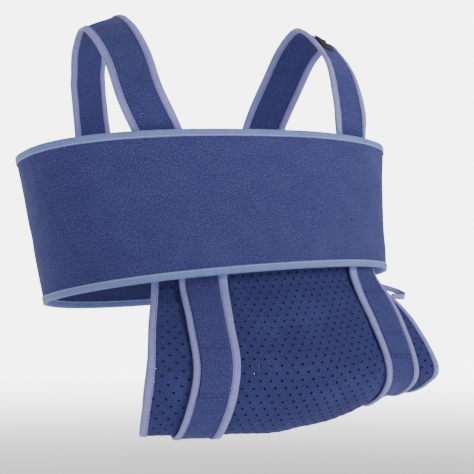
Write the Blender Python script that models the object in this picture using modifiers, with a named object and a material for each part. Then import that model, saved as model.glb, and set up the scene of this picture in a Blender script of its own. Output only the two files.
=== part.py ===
"""Arm sling with a chest band, worn shape, empty.

+X is the wearer's left, -Y the wearer's front and +Z up. The origin is midway between the tops of the two
shoulder straps, on their underside, where the wearer's shoulders carry the sling. Units are metres.
"""

import math

import bmesh
import bpy
import numpy as np

# ---- cloth thicknesses and tape
THUMB_REACH = 0.038         # thumb loop beyond the cradle's edge
GAP = 0.0005                # between sewn pieces that touch
BAND_T = 0.0040             # foam-backed loop fabric
CRADLE_T = 0.0040           # perforated foam laminate
STRAP_T = 0.0024            # loop-faced strap
TAPE_T = 0.0007             # folded edge tape
TAPE_LEG = 0.0078           # how far the tape comes in over the edge
HOOK_T = 0.0013             # hook patch
STRAP_W = 0.050             # shoulder and cradle straps
BAND_H = 0.152              # chest band at the middle of the chest

# ---- chest band: an oval round the torso and the injured upper arm
BAND_LEFT_X = 0.205         # wearer's left end, under the armpit
BAND_ARM_X = -0.187         # outside of the injured arm, at the band's lower edge
BAND_ARM_SPLAY = -0.032     # further out at the upper edge
BAND_FRONT_B = 0.130        # half depth to the front, lower edge
BAND_FRONT_LEAN = -0.016    # less at the upper edge
BAND_BACK_B = 0.112
BAND_CENTRE_Y = 0.005
BAND_ROUND = 2.3            # exponent of the oval
BAND_TALLER = -0.05          # taller on the injured arm, narrower under the other armpit
BAND_TOP_Z = -0.139         # upper edge at the sides
BAND_TILT = 0.030           # lower on the injured arm
BAND_TOP_RISE = 0.016       # higher at the front, lower at the back

# ---- back closure and strap tabs
FLAP_ROOT_X = 0.046
FLAP_END_X = -0.054
BAND_END_X = 0.030          # where the band's other end stops under the flap
TAB_X = 0.100               # centre of each shoulder strap's tab on the back
TAB_LENGTH = 0.085
TAB_TOP_DROP = 0.006        # tab hinge below the band's upper edge

# ---- layers under the band, as distances in from its middle surface
TAB_LAYER = 0.0060          # front end of a cradle strap
STRAP_LAYER = 0.0122        # shoulder strap's lower end
REAR_LAYER = 0.0190         # rear end of a cradle strap
CRADLE_FRONT_LAYER = 0.0125
CRADLE_BACK_LAYER = 0.0235
STRAP_OUT = CRADLE_FRONT_LAYER - TAB_LAYER      # cradle strap outside the cradle's middle surface

# ---- each shoulder strap's path over the shoulder: x, y, z and how steeply it falls away from the neck
SHOULDER_PATH = [
    (0.116, -0.088, -0.090, 0.16),
    (0.122, -0.058, -0.042, 0.30),
    (0.128, -0.024, -0.010, 0.42),
    (0.130, 0.010, 0.0022, 0.42),
    (0.128, 0.044, -0.010, 0.42),
    (0.122, 0.078, -0.046, 0.30),
    (0.110, 0.104, -0.094, 0.16),
]

# ---- cradle: stations from the elbow end to the wrist end.
# (top edge x, furthest forward x, furthest forward y, depth, lowest z, sideways lean of the strap's ends,
# sideways shift of the lowest part, how far the upper wall falls back as a share of the way forward)
CRADLE_AXIS_Z = -0.375
STATIONS = [
    (-0.111, -0.136, -0.165, 0.080, -0.440, -0.20, -0.010, 0.45),
    (-0.060, -0.066, -0.170, 0.082, -0.440, -0.28, -0.012, 0.45),
    (0.030, 0.034, -0.170, 0.082, -0.439, -0.10, -0.004, 0.45),
    (0.102, 0.108, -0.160, 0.078, -0.425, -0.10, 0.0, 0.45),
    (0.153, 0.160, -0.144, 0.075, -0.404, -0.10, 0.0, 0.36),
    (0.180, 0.214, -0.128, 0.074, -0.403, -0.10, 0.0, 0.34),
]
# station of each cradle strap's middle, and how far it swings towards the elbow, in metres
ELBOW_LINE = (1.0, 0.001)
WRIST_LINE = (4.10, 0.010)
HEM_V = 0.17                # height share of the band at the cradle's top edges
REAR_HEM = 2                # control index of the cradle's rear top edge
FRONT_HEM = 11              # and of its front top edge

NAVY = (0.045, 0.060, 0.200)
DEEP_NAVY = (0.030, 0.042, 0.150)
LILAC = (0.270, 0.300, 0.560)
SKY = (0.250, 0.340, 0.580)
BLACK = (0.015, 0.015, 0.020)


# ---------------------------------------------------------------- small maths
def unit(v):
    return v / max(np.linalg.norm(v), 1e-12)


def smooth(points, t):
    """The point at t on a Catmull-Rom curve through points, where t counts them from 0."""
    last = len(points) - 1
    i = int(min(max(math.floor(t), 0), last - 1))
    f = t - i
    b, c = points[i], points[i + 1]
    a = points[i - 1] if i > 0 else 2 * b - c
    d = points[i + 2] if i + 2 <= last else 2 * c - b
    square, cube = 2 * a - 5 * b + 4 * c - d, 3 * b - a - 3 * c + d
    return 0.5 * (2 * b + (c - a) * f + square * f * f + cube * f ** 3)


def path_lengths(points):
    """Distance along the straight runs between points, from the first."""
    return np.concatenate([[0], np.cumsum([np.linalg.norm(b - a) for a, b in zip(points, points[1:])])])


def along_path(values, lengths, d):
    """A smooth curve through values that are placed at lengths, read at d."""
    i = int(min(max(np.searchsorted(lengths, d) - 1, 0), len(values) - 2))
    rates = [(values[k + 1] - values[k]) / (lengths[k + 1] - lengths[k]) for k in range(len(values) - 1)]

    def slope(k):
        if k == 0 or k == len(values) - 1:
            return rates[0] if k == 0 else rates[-1]
        before, after = lengths[k] - lengths[k - 1], lengths[k + 1] - lengths[k]
        return (rates[k - 1] * after + rates[k] * before) / (before + after)

    span = lengths[i + 1] - lengths[i]
    f = (d - lengths[i]) / span
    a, b = values[i], values[i + 1]
    curve = (2 * f ** 3 - 3 * f ** 2 + 1) * a + (3 * f ** 2 - 2 * f ** 3) * b
    return curve + span * ((f ** 3 - 2 * f ** 2 + f) * slope(i) + (f ** 3 - f ** 2) * slope(i + 1))


# ---------------------------------------------------------------- chest band surface
def band_axes(v):
    """Centre x, half width, front and back half depths at height share v (0 lower edge, 1 upper edge)."""
    arm_x = BAND_ARM_X + BAND_ARM_SPLAY * v
    front = BAND_FRONT_B + BAND_FRONT_LEAN * v
    return (BAND_LEFT_X + arm_x) / 2, (BAND_LEFT_X - arm_x) / 2, front, BAND_BACK_B


def band_point(t, v):
    """Middle surface of the band at ring angle t: 0 is the wearer's left, -90 degrees the front."""
    centre, half, front, back = band_axes(v)
    c, s = math.cos(t), math.sin(t)
    power = 2 / BAND_ROUND
    x = centre + half * math.copysign(abs(c) ** power, c)
    y = BAND_CENTRE_Y + (front if s < 0 else back) * math.copysign(abs(s) ** power, s)
    z = BAND_TOP_Z - BAND_TOP_RISE * s + BAND_TILT * x - (BAND_H + BAND_TALLER * x) * (1 - v)
    return np.array([x, y, z])


def band_normal(t, v):
    along = band_point(t + 0.02, v) - band_point(t - 0.02, v)
    up = band_point(t, v + 0.1) - band_point(t, v - 0.1)
    return unit(np.cross(along, up))


def band_layer(t, v, out):
    return band_point(t, v) + band_normal(t, v) * out


def band_angle(x, v, back):
    """The ring angle where the band crosses x, on the back or on the front."""
    centre, half, _, _ = band_axes(v)
    c = (x - centre) / half
    t = math.acos(math.copysign(abs(c) ** (BAND_ROUND / 2), c))
    return t if back else -t


def under_band(x, v, layer):
    """A point in from the front of the band at x, at height share v."""
    return band_layer(band_angle(x, v, False), v, -layer)


# ---------------------------------------------------------------- cradle surface
def station_controls(top_x, front_x, front_y, depth, low_z, lean, low_shift, slope):
    """Control points of one cross-section: down the wearer's side, round the bottom and up the front."""
    top = under_band(top_x, HEM_V, CRADLE_FRONT_LAYER)[:2]
    front = np.array([front_x, front_y])
    way = unit(front - top)
    far = np.linalg.norm(front - top)
    back = far - depth
    drop = CRADLE_AXIS_Z - low_z
    rear = CRADLE_FRONT_LAYER - CRADLE_BACK_LAYER
    walls = [
        (rear + (back - rear) * 0.20, CRADLE_AXIS_Z + 0.066, 0.0),
        (rear + (back - rear) * 0.80, CRADLE_AXIS_Z + 0.016, 0.3),
        (back + depth * 0.07, CRADLE_AXIS_Z - drop * 0.55, 0.8),
        (back + depth * 0.45, low_z, 1.0),
        (back + depth * 0.86, CRADLE_AXIS_Z - drop * 0.66, 0.6),
        (far, CRADLE_AXIS_Z, 0.0),
        (far - far * slope, CRADLE_AXIS_Z + 0.046, 0.0),
    ]
    shift = lean * (BAND_H * 0.25)
    strap_rear = REAR_LAYER - STRAP_OUT
    controls = [
        under_band(top_x + shift * 2, 0.60, strap_rear),
        under_band(top_x + shift, 0.40, strap_rear),
        under_band(top_x, HEM_V, CRADLE_BACK_LAYER),
    ]
    for d, z, share in walls:
        p = top + way * d
        controls.append(np.array([p[0] + low_shift * share, p[1], z]))
    controls.append(under_band(top_x, -0.05, CRADLE_FRONT_LAYER + 0.001))
    controls.append(under_band(top_x, HEM_V, CRADLE_FRONT_LAYER))
    controls.append(under_band(top_x + shift, 0.40, CRADLE_FRONT_LAYER))
    controls.append(under_band(top_x + shift * 2, 0.68, CRADLE_FRONT_LAYER))
    return controls


CONTROLS = [station_controls(*s) for s in STATIONS]


def trough(s, q):
    """Middle surface of the cradle at station s and control index q."""
    column = [smooth([c[k] for c in CONTROLS], s) for k in range(len(CONTROLS[0]))]
    return smooth(column, q)


def trough_normal(s, q):
    """Points away from the forearm."""
    e = 0.04
    along, around = trough(s + e, q) - trough(s - e, q), trough(s, q + e) - trough(s, q - e)
    return unit(np.cross(along, around))


def off_trough(s, q, out):
    return trough(s, q) + trough_normal(s, q) * out


def station_step(s, q, width):
    """How much s changes over a width along the cradle, at q."""
    e = 0.05
    return width * 2 * e / np.linalg.norm(trough(s + e, q) - trough(s - e, q))


# ---------------------------------------------------------------- Blender objects
def material(name, colour, roughness):
    m = bpy.data.materials.get(name) or bpy.data.materials.new(name)
    m.use_nodes = True
    shader = m.node_tree.nodes["Principled BSDF"]
    shader.inputs["Base Color"].default_value = (*colour, 1.0)
    shader.inputs["Roughness"].default_value = roughness
    shader.inputs["Metallic"].default_value = 0.0
    return m


def sheet(name, rows, thickness, finish, origin=None):
    """An open grid of points, thickened evenly to both sides, with its origin on a joint if one is given."""
    place = np.zeros(3) if origin is None else np.array(origin, float)
    mesh = bpy.data.meshes.new(name)
    bm = bmesh.new()
    grid = [[bm.verts.new(tuple(np.array(p) - place)) for p in row] for row in rows]
    for a, b in zip(grid, grid[1:]):
        for k in range(len(a) - 1):
            bm.faces.new((a[k], a[k + 1], b[k + 1], b[k]))
    bmesh.ops.recalc_face_normals(bm, faces=bm.faces)
    bm.to_mesh(mesh)
    bm.free()
    mesh.shade_smooth()
    made = bpy.data.objects.new(name, mesh)
    made.location = tuple(place)
    made.data.materials.append(finish)
    COLLECTION.objects.link(made)
    solid = made.modifiers.new("thickness", "SOLIDIFY")
    solid.thickness = thickness
    solid.offset = 0.0
    solid.use_even_offset = True
    return made


def ribbon_point(frame, x, out=0.0):
    """A point x across a ribbon and out along its normal. A frame is (centre, across, normal, curl)."""
    c, w, n, curl = frame
    return c + w * x + n * (curl * x * x) + ribbon_normal(frame, x) * out


def ribbon_normal(frame, x):
    _, w, n, curl = frame
    return unit(n - w * (2 * curl * x))


def ribbon_rows(frames, low, high, out=0.0, columns=4):
    return [[ribbon_point(f, x, out) for x in np.linspace(low, high, columns + 1)] for f in frames]


def edge_tape(name, edges, cloth_t, finish, origin=None):
    """Tape folded over an edge. A sample is a list of (point, normal) on the cloth, from the edge inwards."""
    h = cloth_t / 2 + GAP + TAPE_T / 2
    rows = []
    for sample in edges:
        (e, n), (inside, _) = sample[0], sample[1]
        fold = e - unit(inside - e) * (GAP + TAPE_T / 2)
        leg = sample[:0:-1]
        row = [p + m * h for p, m in leg] + [fold + n * h, fold - n * h]
        rows.append(row + [p - m * h for p, m in reversed(leg)])
    return sheet(name, rows, TAPE_T, finish, origin)


def ribbon_edge(frame, half, side):
    """An edge sample of a ribbon; side is 1 or -1."""
    places = [side * half, side * (half - TAPE_LEG)]
    return [(ribbon_point(frame, x), ribbon_normal(frame, x)) for x in places]


def frames_along(centres, acrosses, curls):
    """Frames from centre points and rough across directions, squared up against the path."""
    found = []
    for i, (c, w, curl) in enumerate(zip(centres, acrosses, curls)):
        ahead = unit(centres[min(i + 1, len(centres) - 1)] - centres[max(i - 1, 0)])
        w = unit(w - ahead * np.dot(w, ahead))
        found.append((c, w, unit(np.cross(ahead, w)), curl))
    return found


def strap_with_tapes(name, frames, finish, tape_finish, origin=None, end=False):
    """A strap and the tapes along its two edges, and across its far end if end is true."""
    half = STRAP_W / 2 - GAP - TAPE_T
    sheet(name, ribbon_rows(frames, -half, half), STRAP_T, finish, origin)
    for label, side in (("inner", 1.0), ("outer", -1.0)):
        edge = [ribbon_edge(f, half, side) for f in frames]
        edge_tape(f"{name}_{label}_tape", edge, STRAP_T, tape_finish, origin)
    if end:
        last = frames[-1]
        leg = unit(frames[-2][0] - last[0]) * TAPE_LEG
        inside = half - TAPE_LEG - 2 * GAP
        edges = []
        for x in np.linspace(-inside, inside, 5):
            p, n = ribbon_point(last, x), ribbon_normal(last, x)
            edges.append([(p, n), (p + leg, n)])
        edge_tape(f"{name}_end_tape", edges, STRAP_T, tape_finish, origin)


# ---------------------------------------------------------------- pieces
def band_edge(t, v, inward, out=0.0):
    """An edge sample on the band's upper or lower edge; inward is 1 when the cloth is above the edge."""
    return [(band_layer(t, w, out), band_normal(t, w)) for w in (v, v + inward * TAPE_LEG / BAND_H)]


def make_band():
    navy, sky = FINISH["loop_fabric"], FINISH["sky_tape"]
    root, tail = band_angle(FLAP_ROOT_X, 0.5, True), band_angle(BAND_END_X, 0.5, True) - 2 * math.pi
    angles = ring_angles(root, tail, 76)
    low, high = (GAP + TAPE_T) / BAND_H, 1 - (GAP + TAPE_T) / BAND_H
    sheet("chest_band", [[band_point(t, v) for v in np.linspace(low, high, 5)] for t in angles], BAND_T, navy)
    edge_tape("band_upper_tape", [band_edge(t, high, -1) for t in angles], BAND_T, sky)
    edge_tape("band_lower_tape", [band_edge(t, low, 1) for t in angles], BAND_T, sky)


def ring_angles(start, end, count):
    """Ring angles from start down to end, evenly spaced along the band."""
    fine = np.linspace(start, end, 1200)
    points = np.array([band_point(t, 0.5) for t in fine])
    along = np.concatenate([[0], np.cumsum(np.linalg.norm(np.diff(points, axis=0), axis=1))])
    return np.interp(np.linspace(0, along[-1], count + 1), along, fine)


FLAP_OUT = BAND_T + 2 * GAP + 2 * TAPE_T + GAP + HOOK_T * 0.5   # flap's middle surface outside the band's


def flap_hinge():
    t = band_angle(FLAP_ROOT_X, 0.5, True)
    return band_layer(t, 0.5, FLAP_OUT)


def make_flap():
    """The band's outer end, which laps over the other end on the back and peels open."""
    navy, sky, hook = FINISH["loop_fabric"], FINISH["sky_tape"], FINISH["hook"]
    pivot = flap_hinge()
    angles = ring_angles(band_angle(FLAP_END_X, 0.5, True), band_angle(FLAP_ROOT_X - 0.001, 0.5, True), 12)
    low, high = (GAP + TAPE_T) / BAND_H, 1 - (GAP + TAPE_T) / BAND_H
    rows = [[band_layer(t, v, FLAP_OUT) for v in np.linspace(low, high, 5)] for t in angles]
    sheet("closure_flap", rows, BAND_T, navy, pivot)
    edge_tape("flap_upper_tape", [band_edge(t, high, -1, FLAP_OUT) for t in angles], BAND_T, sky, pivot)
    edge_tape("flap_lower_tape", [band_edge(t, low, 1, FLAP_OUT) for t in angles], BAND_T, sky, pivot)
    inset = (TAPE_LEG + 3 * GAP + TAPE_T) / BAND_H
    inner = band_angle(FLAP_END_X + TAPE_LEG, 0.5, True)
    side = []
    for v in np.linspace(inset, 1 - inset, 5):
        side.append([(band_layer(t, v, FLAP_OUT), band_normal(t, v)) for t in (angles[0], inner)])
    edge_tape("flap_end_tape", side, BAND_T, sky, pivot)
    hook_start, hook_end = FLAP_END_X + 0.012, FLAP_END_X + 0.062
    hook_angles = ring_angles(band_angle(hook_start, 0.5, True), band_angle(hook_end, 0.5, True), 6)
    out = FLAP_OUT - BAND_T / 2 - GAP - HOOK_T / 2
    rows = [[band_layer(t, v, out) for v in np.linspace(0.10, 0.90, 4)] for t in hook_angles]
    sheet("flap_hook_strip", rows, HOOK_T, hook, pivot)


def end_steps(end, inward):
    """Stations at a cradle end's edge, half a tape leg in and a whole leg in."""
    leg = station_step(end + 0.05 * inward, (REAR_HEM + FRONT_HEM) / 2, TAPE_LEG)
    return [end, end + inward * leg / 2, end + inward * leg]


def make_cradle():
    navy, lilac = FINISH["perforated_foam"], FINISH["lilac_tape"]
    tape_in = GAP + TAPE_T
    around = np.linspace(REAR_HEM + 0.02, FRONT_HEM - 0.02, 46)
    last = len(STATIONS) - 1
    elbow, wrist = end_steps(0.0, 1), end_steps(float(last), -1)
    along = elbow[:-1] + list(np.linspace(elbow[-1], wrist[-1], 19)) + wrist[-2::-1]
    sheet("cradle_panel", [[trough(s, q) for q in around] for s in along], CRADLE_T, navy)
    for name, steps in (("cradle_elbow_tape", elbow), ("cradle_wrist_tape", wrist)):
        edges = [[(trough(s, q), trough_normal(s, q)) for s in steps] for q in around]
        edge_tape(name, edges, CRADLE_T, lilac)
    for name, q, inward in (("cradle_front_hem", around[-1], -1), ("cradle_back_hem", around[0], 1)):
        edges = []
        for s in np.linspace(0, last, 41):
            e = 0.05
            inside = q + inward * TAPE_LEG * 2 * e / np.linalg.norm(trough(s, q + e) - trough(s, q - e))
            far_in = min(np.linalg.norm(trough(s, q) - trough(end, q)) for end in (0, last))
            if far_in > TAPE_LEG + 3 * GAP + TAPE_T:
                edges.append([(trough(s, p), trough_normal(s, p)) for p in (q, inside)])
        edge_tape(name, edges, CRADLE_T, lilac)


def strap_line(line, q):
    """Station of a cradle strap's middle: it swings towards the elbow where the cradle is fullest."""
    station, swing = line
    share = min(max((q - 5.2) / 5.6, 0.0), 1.0)
    return station - station_step(station, q, swing) * math.sin(math.pi * share) ** 2


def loop_rows(line, qs, out, low, high, columns=4):
    """Rows of a ribbon that follows the cradle's surface across its width too."""
    rows = []
    for q in qs:
        s, e = strap_line(line, q), station_step(line[0], q, 1.0)
        rows.append([off_trough(s + e * x, q, out) for x in np.linspace(low, high, columns + 1)])
    return rows


def make_cradle_strap(name, line, facing):
    """A strap under the cradle, fastened in front to the shoulder strap and sewn behind."""
    navy, lilac, hook = FINISH["loop_fabric"], FINISH["lilac_tape"], FINISH["hook"]
    half = STRAP_W / 2 - GAP - TAPE_T
    qs = np.linspace(0.15, 12.8, 56)
    out = STRAP_OUT
    sheet(name, loop_rows(line, qs, out, -half, half), STRAP_T, navy)
    for side, sign in (("inner", 1.0), ("outer", -1.0)):
        edges = []
        for q in qs:
            middle, e = strap_line(line, q), station_step(line[0], q, 1.0)
            edge, inside = middle + e * sign * half, middle + e * sign * (half - TAPE_LEG)
            edges.append([(off_trough(s, q, out), trough_normal(s, q)) for s in (edge, inside)])
        edge_tape(f"{name}_{side}_tape", edges, STRAP_T, lilac)
    face_half = half - TAPE_LEG - 2 * GAP
    face_out = out + STRAP_T / 2 + GAP + 0.0006
    facing_qs = [q for q in qs if facing[0] < q < facing[1]]
    sheet(f"{name}_facing", loop_rows(line, facing_qs, face_out, -face_half, face_half), 0.0008, navy)
    patch_out = out - STRAP_T / 2 - GAP - HOOK_T / 2
    rows = loop_rows(line, [q for q in qs if 11.9 < q < 12.7], patch_out, -face_half, face_half)
    sheet(f"{name}_hook_patch", rows, HOOK_T, hook)


def band_curl(t, v, layer):
    """How sharply the band curves at t on that layer, as the fall over the square of the way across."""
    a, b, c = (band_layer(t + d, v, layer) for d in (-0.15, 0.0, 0.15))
    chord = np.linalg.norm(c - a)
    return np.linalg.norm(b - (a + c) / 2) / (chord / 2) ** 2


def shoulder_frames(side):
    """Frames of a shoulder strap from its front end to the back of the band. side is -1 or 1."""
    controls, acrosses, curls = [], [], []
    front = [(-0.066, 0.157, 0.37), (-0.078, 0.153, 0.65), (-0.094, 0.148, 0.92)]
    for right_x, left_x, v in front:
        x = right_x if side < 0 else left_x
        t = band_angle(x, v, False)
        controls.append(band_layer(t, v, -STRAP_LAYER))
        n = band_normal(t, v)
        acrosses.append(unit(np.array([-n[1], n[0], 0.0])))
        curls.append(band_curl(t, v, -STRAP_LAYER))
    for x, y, z, slope in SHOULDER_PATH:
        shift = (0.018 if z < -0.06 else 0.010) if side > 0 and z < -0.03 and y < 0 else 0.0
        back_in = 0.010 if side > 0 and z < -0.06 and y < 0 else 0.0
        controls.append(np.array([side * x + shift, y + back_in, z]))
        turn = 0.36 if z < -0.03 else 0.12
        acrosses.append(unit(np.array([1.0, side * math.copysign(turn, -y), -side * slope])))
        curls.append(0.6)
    root, w, _, curl = tab_root(side)
    for rise in (0.020, 0.0016):
        controls.append(root + np.array([0, 0, rise]))
        acrosses.append(w)
        curls.append(curl)
    acrosses = [a if a[0] > 0 else -a for a in acrosses]
    lengths = path_lengths(controls)
    places = np.linspace(0, lengths[-1], 40)
    found = [[along_path(values, lengths, d) for d in places] for values in (controls, acrosses, curls)]
    return frames_along(*found)


TAB_OUT = BAND_T / 2 + GAP + TAPE_T + STRAP_T / 2 + 2 * GAP + TAPE_T + 0.0006


def tab_root(side):
    """The top of a rear tab on the band's outer face, as a frame."""
    v = 1 - TAB_TOP_DROP / BAND_H
    t = band_angle(side * TAB_X, v, True)
    n = band_normal(t, v)
    w = unit(np.array([n[1], -n[0], 0.0]))
    return band_layer(t, v, TAB_OUT), (w if w[0] > 0 else -w), -n, band_curl(t, v, TAB_OUT)


def tab_frames(side):
    """Frames of a shoulder strap's rear tab, flat on the band's outer face, from its hinge down."""
    root, w, _, curl = tab_root(side)
    centres = [root + np.array([0, 0, -d]) for d in np.linspace(0.001, TAB_LENGTH, 8)]
    return frames_along(centres, [w] * 8, [curl] * 8)


def tab_hinge(side):
    """On the outer face, so that the tab peels away without binding on the strap above it."""
    root, _, inward, _ = tab_root(side)
    return root - inward * (STRAP_T / 2 + GAP + TAPE_T)


def make_shoulder_strap(name, side):
    navy, lilac, hook = FINISH["loop_fabric"], FINISH["lilac_tape"], FINISH["hook"]
    strap_with_tapes(f"{name}_shoulder_strap", shoulder_frames(side), navy, lilac)
    frames = tab_frames(side)
    pivot = tab_hinge(side)
    strap_with_tapes(f"{name}_rear_tab", frames, navy, lilac, origin=pivot, end=True)
    face = STRAP_W / 2 - GAP - TAPE_T - TAPE_LEG - 2 * GAP
    out = STRAP_T / 2 + GAP + HOOK_T / 2
    sheet(f"{name}_rear_hook_patch", ribbon_rows(frames[1:-1], -face, face, out), HOOK_T, hook, pivot)


def make_label():
    """Plain woven label sewn on the left strap near the neck, just over the top of the shoulder."""
    frames = shoulder_frames(1)[17:21]
    out = -(STRAP_T / 2 + TAPE_T + 3 * GAP)
    sheet("woven_label", ribbon_rows(frames, -0.0155, 0.0010, out, 2), TAPE_T, FINISH["label"])


def thumb_loop_ends():
    last = float(len(STATIONS) - 1)
    front, back = trough(last, FRONT_HEM - 1.45), trough(last, REAR_HEM + 0.62)
    return front, back


def make_thumb_loop():
    """Narrow tape loop for the thumb, sewn to both walls at the wrist end, near the top."""
    front, back = thumb_loop_ends()
    chord = back - front
    out = unit(np.array([-chord[1], chord[0], 0.0]))
    out = out if out[0] > 0 else -out
    out = unit(out + np.array([0.6, 0.0, 0.0]))
    start = 0.0045
    count = 22
    centres, acrosses, curls = [], [], []
    for k in range(count + 1):
        a = math.pi * k / count
        along = 0.5 - 0.5 * math.cos(a)
        bulge = start + THUMB_REACH * math.sin(a)
        sag = -0.004 * math.sin(a)
        centres.append(front + chord * along + out * bulge + np.array([0, 0, sag]))
        acrosses.append(unit(np.array([0, 0, 1.0]) + out * 0.35))
        curls.append(0.0)
    frames = frames_along(centres, acrosses, curls)
    rows = ribbon_rows(frames, -0.003, 0.003, 0.0, 1)
    sheet("thumb_loop", rows, 0.0012, FINISH["lilac_tape"], (front + back) / 2)


def main():
    for o in list(bpy.data.objects):
        bpy.data.objects.remove(o)
    for name, colour, roughness in (
        ("loop_fabric", NAVY, 0.9), ("perforated_foam", DEEP_NAVY, 0.85), ("lilac_tape", LILAC, 0.7),
        ("sky_tape", SKY, 0.7), ("hook", BLACK, 0.6), ("label", BLACK, 0.7),
    ):
        FINISH[name] = material(name, colour, roughness)
    bpy.context.scene.collection.children.link(COLLECTION)
    make_band()
    make_flap()
    make_cradle()
    make_cradle_strap("elbow_strap", ELBOW_LINE, (7.4, 10.0))
    make_cradle_strap("wrist_strap", WRIST_LINE, (8.2, 9.6))
    make_shoulder_strap("right", -1)
    make_shoulder_strap("left", 1)
    make_label()
    make_thumb_loop()


FINISH = {}
COLLECTION = bpy.data.collections.new("arm_sling")
main()
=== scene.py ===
"""Looks of the arm sling: fine cloth, edge tape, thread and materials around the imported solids."""

import math

import bpy
import numpy as np
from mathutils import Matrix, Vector


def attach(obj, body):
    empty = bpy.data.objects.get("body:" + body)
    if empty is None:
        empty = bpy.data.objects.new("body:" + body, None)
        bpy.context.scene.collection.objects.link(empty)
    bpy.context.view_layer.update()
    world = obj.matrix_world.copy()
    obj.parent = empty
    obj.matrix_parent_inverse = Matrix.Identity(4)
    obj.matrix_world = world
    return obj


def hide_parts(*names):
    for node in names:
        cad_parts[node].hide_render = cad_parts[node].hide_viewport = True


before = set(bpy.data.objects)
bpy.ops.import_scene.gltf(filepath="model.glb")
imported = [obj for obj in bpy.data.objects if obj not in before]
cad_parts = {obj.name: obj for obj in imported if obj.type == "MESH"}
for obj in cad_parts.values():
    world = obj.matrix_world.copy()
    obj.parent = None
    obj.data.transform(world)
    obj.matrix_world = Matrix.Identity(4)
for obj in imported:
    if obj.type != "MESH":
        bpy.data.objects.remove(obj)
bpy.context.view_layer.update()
rng = np.random.default_rng(7)

# ---- sizes, in metres, the same as the solids' but for TAPE_LEG, which is 0.0078 there
BAND_T, CRADLE_T, STRAP_T, TAPE_T = 0.0036, 0.0036, 0.0022, 0.0007
TAPE_LEG = 0.0066
TAPE_GAP = 0.00012        # between a cloth's face and its tape
TAPE_SEAM = 0.84          # share of the tape's leg at which it is sewn
CLOTH_INSET = 0.0012      # from a tape's fold to the cloth's edge
HOOK_MARGIN = 0.0010
STRAP_W = 0.050
BAND_H, BAND_GIRTH = 0.152, 1.07
BAND_TALLER = -0.05
BAND_LEFT_X, BAND_ARM_X, BAND_ARM_SPLAY = 0.205, -0.187, -0.032
BAND_FRONT_B, BAND_FRONT_LEAN, BAND_BACK_B = 0.130, -0.016, 0.112
BAND_CENTRE_Y, BAND_ROUND = 0.005, 2.3
BAND_TOP_Z, BAND_TILT, BAND_TOP_RISE = -0.139, 0.030, 0.016
FLAP_ROOT_X, FLAP_END_X, BAND_END_X = 0.046, -0.054, 0.030
FLAP_OUT = 0.00755
TAB_X, TAB_LENGTH, TAB_TOP_DROP, TAB_OUT = 0.100, 0.085, 0.006, 0.0067
TAB_LAYER, STRAP_LAYER, REAR_LAYER = 0.0060, 0.0122, 0.0190
CRADLE_FRONT_LAYER, CRADLE_BACK_LAYER = 0.0125, 0.0235
STRAP_OUT = CRADLE_FRONT_LAYER - TAB_LAYER
CRADLE_AXIS_Z, HEM_V, REAR_HEM, FRONT_HEM = -0.375, 0.17, 2, 11
STATIONS = [
    (-0.111, -0.136, -0.165, 0.080, -0.440, -0.20, -0.010, 0.45),
    (-0.060, -0.066, -0.170, 0.082, -0.440, -0.28, -0.012, 0.45),
    (0.030, 0.034, -0.170, 0.082, -0.439, -0.10, -0.004, 0.45),
    (0.102, 0.108, -0.160, 0.078, -0.425, -0.10, 0.0, 0.45),
    (0.153, 0.160, -0.144, 0.075, -0.404, -0.10, 0.0, 0.36),
    (0.180, 0.214, -0.128, 0.074, -0.403, -0.10, 0.0, 0.34),
]
ELBOW_LINE, WRIST_LINE = (1.0, 0.001), (4.10, 0.010)
SHOULDER_PATH = [
    (0.116, -0.088, -0.090, 0.16), (0.122, -0.058, -0.042, 0.30), (0.128, -0.024, -0.010, 0.42),
    (0.130, 0.010, 0.0022, 0.42), (0.128, 0.044, -0.010, 0.42), (0.122, 0.078, -0.046, 0.30),
    (0.110, 0.104, -0.094, 0.16),
]
THUMB_REACH, THUMB_START, THUMB_SAG, THUMB_T = 0.038, 0.0045, 0.004, 0.0011


# ---- surfaces, for arrays of points
def unit(v):
    return v / np.maximum(np.linalg.norm(v, axis=-1, keepdims=True), 1e-12)


def catmull(points, t, own_rows=False):
    """Catmull-Rom through points (n, ...), or (m, n, ...) where each of the m values t has its own row of points."""
    t = np.atleast_1d(np.asarray(t, float))
    n = points.shape[1] if own_rows else points.shape[0]
    i = np.clip(np.floor(t).astype(int), 0, n - 2)
    f = t - i

    def at(k):
        return points[np.arange(len(t)), k] if own_rows else points[k]

    b, c = at(i), at(i + 1)
    shape = (-1,) + (1,) * (b.ndim - 1)
    first, last = (i == 0).reshape(shape), (i + 2 > n - 1).reshape(shape)
    a = np.where(first, 2 * b - c, at(np.maximum(i - 1, 0)))
    d = np.where(last, 2 * c - b, at(np.minimum(i + 2, n - 1)))
    f = f.reshape(shape)
    return 0.5 * (2 * b + (c - a) * f + (2 * a - 5 * b + 4 * c - d) * f**2 + (3 * b - a - 3 * c + d) * f**3)


def power(c, p):
    return np.sign(c) * np.abs(c) ** p


def band_point(t, v):
    """Middle surface of the band at ring angle t (0 the wearer's left, -90 degrees the front) and height share v."""
    t, v = np.broadcast_arrays(np.asarray(t, float), np.asarray(v, float))
    arm_x = BAND_ARM_X + BAND_ARM_SPLAY * v
    centre, half = (BAND_LEFT_X + arm_x) / 2, (BAND_LEFT_X - arm_x) / 2
    front = BAND_FRONT_B + BAND_FRONT_LEAN * v
    c, s = np.cos(t), np.sin(t)
    x = centre + half * power(c, 2 / BAND_ROUND)
    y = BAND_CENTRE_Y + np.where(s < 0, front, BAND_BACK_B) * power(s, 2 / BAND_ROUND)
    z = BAND_TOP_Z - BAND_TOP_RISE * s + BAND_TILT * x - (BAND_H + BAND_TALLER * x) * (1 - v)
    return np.stack([x, y, z], axis=-1)


def band_normal(t, v):
    around = band_point(t + 0.02, v) - band_point(t - 0.02, v)
    return unit(np.cross(around, band_point(t, v + 0.1) - band_point(t, v - 0.1)))


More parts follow.
